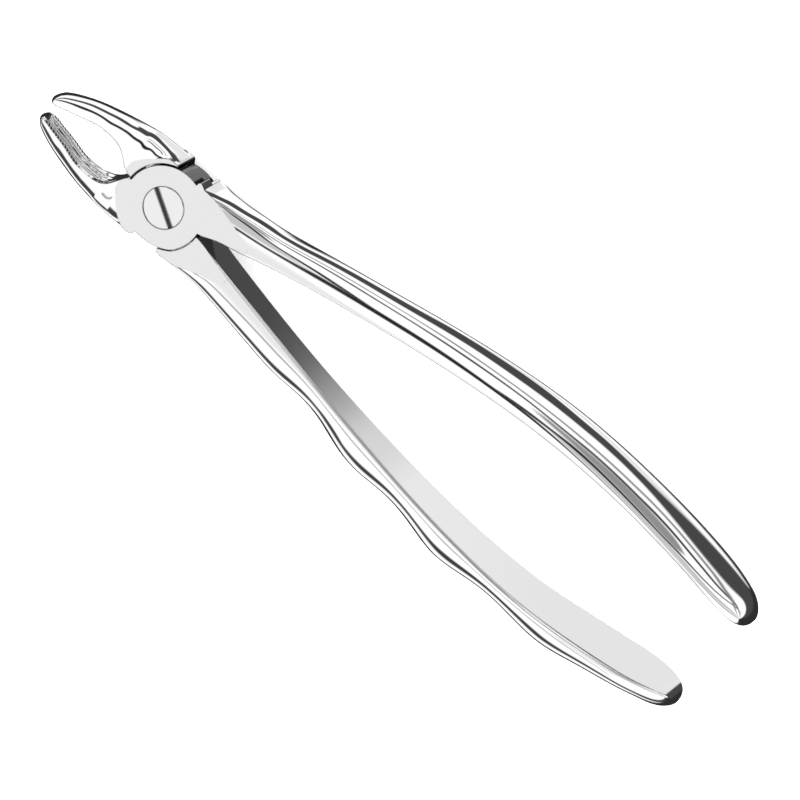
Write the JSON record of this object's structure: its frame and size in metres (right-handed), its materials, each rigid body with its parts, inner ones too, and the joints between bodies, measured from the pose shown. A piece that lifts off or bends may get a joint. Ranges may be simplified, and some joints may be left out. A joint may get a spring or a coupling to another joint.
{
  "type": "extraction forceps",
  "caption": "Polished steel dental extraction forceps: serrated hollow beaks, slotted pivot screw, one smooth and one finger-grooved handle.",
  "frame": {"origin": "pivot axis at the rear face of the joint", "axes": "+X from the pivot towards the handles, +Z along the pivot axis towards the slotted screw head, +Y towards the smooth palm handle"},
  "size_m": [0.1769, 0.0425, 0.02],
  "materials": {
    "polished_steel": "mirror polished stainless steel",
    "screw_steel": "finely turned and polished stainless steel"
  },
  "bodies": {
    "rear": {"rear_half": "polished_steel", "pivot_screw": "screw_steel"},
    "front": {"front_half": "polished_steel"}
  },
  "joints": [
    {"name": "pivot", "type": "hinge", "parent": "rear", "child": "front", "pos_m": [0, 0, 0.005], "axis": [0, 0, 1], "range_deg": [0, 32]}
  ]
}
